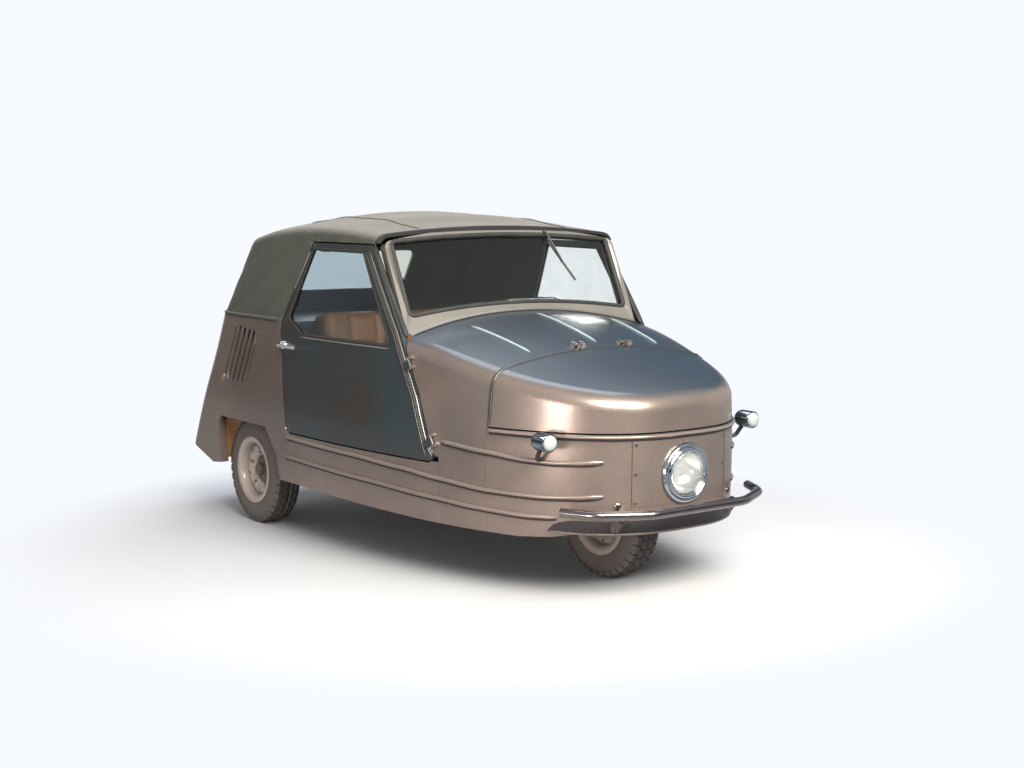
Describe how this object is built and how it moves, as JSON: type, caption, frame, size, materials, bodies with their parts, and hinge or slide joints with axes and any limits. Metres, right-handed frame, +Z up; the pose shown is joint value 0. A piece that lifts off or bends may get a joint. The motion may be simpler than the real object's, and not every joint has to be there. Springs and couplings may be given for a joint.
{
  "type": "three-wheeled microcar",
  "caption": "Light three-wheeled car with one steered front wheel, rounded metal body, canvas hood, hinged doors and lids, single headlamp and handlebar steering.",
  "frame": {"origin": "on the ground under the middle of the overall length and width", "axes": "+X forward, +Y to the car's left, +Z up"},
  "size_m": [2.6494, 1.388, 1.3329],
  "materials": {
    "body_paint": "gloss",
    "door_paint": "gloss",
    "trim_paint": "gloss",
    "frame_paint": "satin",
    "rim_paint": "gloss",
    "hub_paint": "satin",
    "dash_paint": "satin",
    "clear_glass": "clear",
    "clear_sheet": "clear",
    "lamp_glass": "fluted",
    "red_lens": "gloss",
    "bright_chrome": "polished",
    "bare_metal": "satin",
    "bar_metal": "polished",
    "engine_metal": "cast",
    "exhaust_metal": "scaled",
    "hood_canvas": "woven",
    "seat_cover": "satin",
    "grip_rubber": "matt",
    "tyre_rubber": "matt"
  },
  "bodies": {
    "body": {"side_panel_right": "body_paint", "side_panel_left": "body_paint", "tail_panel": "body_paint", "rear_deck": "body_paint", "cowl": "body_paint", "nose_shell": "body_paint", "front_panel": "body_paint", "windscreen_glass": "clear_glass", "rear_window": "clear_sheet", "side_lamps": "bright_chrome", "headlamp_bezel": "bright_chrome", "wheel_houses": "frame_paint", "floor_pan": "frame_paint", "bulkheads": "frame_paint", "trailing_arms": "frame_paint", "rear_dampers": "frame_paint", "side_lamp_brackets": "frame_paint", "roof_bows": "frame_paint", "wiper": "frame_paint", "chassis_frame": "frame_paint", "seat_frame": "frame_paint", "hand_levers": "frame_paint", "headlamp_lens": "lamp_glass", "side_lamp_lenses": "lamp_glass", "tail_lamps": "red_lens", "roof_canvas": "hood_canvas", "roof_header": "bare_metal", "bumper": "bare_metal", "drive_shafts": "bare_metal", "windscreen_frame": "trim_paint", "dashboard": "dash_paint", "engine_block": "engine_metal", "exhaust": "exhaust_metal", "seat_cushion": "seat_cover", "seat_back": "seat_cover"},
    "door_right": {"door_panel_right": "door_paint", "door_glass_right": "clear_glass", "door_handle_right": "bright_chrome"},
    "door_left": {"door_panel_left": "door_paint", "door_glass_left": "clear_glass", "door_handle_left": "bright_chrome"},
    "bonnet": {"bonnet_lid": "body_paint"},
    "engine_cover": {"engine_lid": "body_paint"},
    "fork": {"front_fork": "frame_paint"},
    "front_wheel": {"front_tyre": "tyre_rubber", "front_rim": "rim_paint", "front_hub": "hub_paint"},
    "rear_wheel_right": {"rear_tyre_right": "tyre_rubber", "rear_rim_right": "rim_paint", "rear_hub_right": "hub_paint"},
    "rear_wheel_left": {"rear_tyre_left": "tyre_rubber", "rear_rim_left": "rim_paint", "rear_hub_left": "hub_paint"},
    "handlebar": {"steering_column": "bar_metal", "handlebar_grips": "grip_rubber"},
    "link": {"drag_link": "bare_metal"}
  },
  "joints": [
    {"name": "door_right_hinge", "type": "hinge", "parent": "body", "child": "door_right", "pos_m": [0.479, -0.60214, 0.655], "axis": [-0.4718, -0.0028, 0.8817], "range_deg": [0, 60]},
    {"name": "door_left_hinge", "type": "hinge", "parent": "body", "child": "door_left", "pos_m": [0.479, 0.60214, 0.655], "axis": [0.4718, -0.0028, -0.8817], "range_deg": [0, 60]},
    {"name": "bonnet_hinge", "type": "hinge", "parent": "body", "child": "bonnet", "pos_m": [0.783, 0, 0.861], "axis": [0, -1, 0], "range_deg": [0, 60]},
    {"name": "engine_lid_hinge", "type": "hinge", "parent": "body", "child": "engine_cover", "pos_m": [-1.10432, 0, 0.824], "axis": [0, 1, 0], "range_deg": [0, 65]},
    {"name": "steering_fork", "type": "hinge", "parent": "body", "child": "fork", "pos_m": [0.67602, 0, 0.48721], "axis": [-0.4226, 0, 0.9063], "range_deg": [-35, 35]},
    {"name": "front_wheel_spin", "type": "hinge", "parent": "fork", "child": "front_wheel", "pos_m": [0.83, 0, 0.228], "axis": [0, 1, 0], "continuous": true},
    {"name": "rear_wheel_right_spin", "type": "hinge", "parent": "body", "child": "rear_wheel_right", "pos_m": [-0.77, -0.575, 0.228], "axis": [0, 1, 0], "continuous": true},
    {"name": "rear_wheel_left_spin", "type": "hinge", "parent": "body", "child": "rear_wheel_left", "pos_m": [-0.77, 0.575, 0.228], "axis": [0, 1, 0], "continuous": true},
    {"name": "handlebar_turn", "type": "hinge", "parent": "body", "child": "handlebar", "pos_m": [0.23165, 0.2, 0.69266], "axis": [-0.4226, 0, 0.9063], "range_deg": [-35, 35]},
    {"name": "drag_link_pivot", "type": "hinge", "parent": "handlebar", "child": "link", "pos_m": [0.35258, 0.27607, 0.54713], "axis": [-0.4226, 0, 0.9063], "range_deg": [-35, 35]}
  ],
  "couplings": [
    {"joint": "steering_fork", "follows": "handlebar_turn", "ratio": 1},
    {"joint": "drag_link_pivot", "follows": "handlebar_turn", "ratio": -1}
  ]
}
